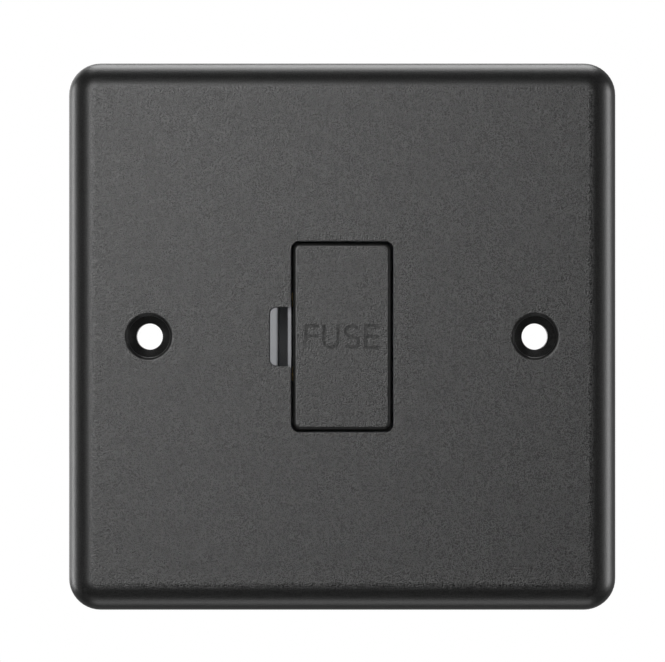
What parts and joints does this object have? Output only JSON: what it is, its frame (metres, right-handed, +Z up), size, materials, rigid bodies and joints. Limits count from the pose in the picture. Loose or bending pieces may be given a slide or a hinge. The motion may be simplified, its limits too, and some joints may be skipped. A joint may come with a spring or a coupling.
{
  "type": "fused spur unit",
  "caption": "Square wall plate with a pull-out fuse carrier, a pry notch, two countersunk fixing holes and a rear housing with screw terminals.",
  "frame": {"origin": "centre of the wall plane, midway between the two fixing holes", "axes": "+X to the right seen from the front, +Y into the wall, +Z up; the front looks along -Y"},
  "size_m": [0.086, 0.0251, 0.086],
  "materials": {
    "plate_coat": "dark grey matt coat with a very fine grain",
    "grey_moulding": "moulded bluish grey, satin",
    "brass": "machined",
    "screw_steel": "zinc plated",
    "nickel": "nickel plated, drawn",
    "fuse_ceramic": "unglazed"
  },
  "bodies": {
    "unit": {"front_plate": "plate_coat", "front_moulding": "grey_moulding", "rear_housing": "grey_moulding", "fuse_contact_load": "brass", "fuse_contact_supply": "brass", "neutral_link": "brass", "earth_strap": "screw_steel", "assembly_screws": "screw_steel", "earth_screw": "screw_steel", "live_load_terminal": "brass", "earth_upper_terminal": "brass", "neutral_load_terminal": "brass", "live_supply_terminal": "brass", "earth_lower_terminal": "brass", "neutral_supply_terminal": "brass"},
    "carrier": {"carrier_cap": "plate_coat", "fuse_carrier": "grey_moulding", "fuse_tube": "fuse_ceramic", "fuse_element": "nickel", "fuse_cap_upper": "nickel", "fuse_cap_lower": "nickel"},
    "live_load_screw": {"live_load_screw": "screw_steel"},
    "earth_upper_screw": {"earth_upper_screw": "screw_steel"},
    "neutral_load_screw": {"neutral_load_screw": "screw_steel"},
    "live_supply_screw": {"live_supply_screw": "screw_steel"},
    "earth_lower_screw": {"earth_lower_screw": "screw_steel"},
    "neutral_supply_screw": {"neutral_supply_screw": "screw_steel"}
  },
  "joints": [
    {"name": "carrier_slide", "type": "slide", "parent": "unit", "child": "carrier", "axis": [0, -1, 0], "range_m": [0, 0.0162]},
    {"name": "live_load_clamp", "type": "slide", "parent": "unit", "child": "live_load_screw", "axis": [0, -1, 0], "range_m": [0, 0.0023]},
    {"name": "earth_upper_clamp", "type": "slide", "parent": "unit", "child": "earth_upper_screw", "axis": [0, -1, 0], "range_m": [0, 0.0023]},
    {"name": "neutral_load_clamp", "type": "slide", "parent": "unit", "child": "neutral_load_screw", "axis": [0, -1, 0], "range_m": [0, 0.0023]},
    {"name": "live_supply_clamp", "type": "slide", "parent": "unit", "child": "live_supply_screw", "axis": [0, -1, 0], "range_m": [0, 0.0023]},
    {"name": "earth_lower_clamp", "type": "slide", "parent": "unit", "child": "earth_lower_screw", "axis": [0, -1, 0], "range_m": [0, 0.0023]},
    {"name": "neutral_supply_clamp", "type": "slide", "parent": "unit", "child": "neutral_supply_screw", "axis": [0, -1, 0], "range_m": [0, 0.0023]}
  ]
}
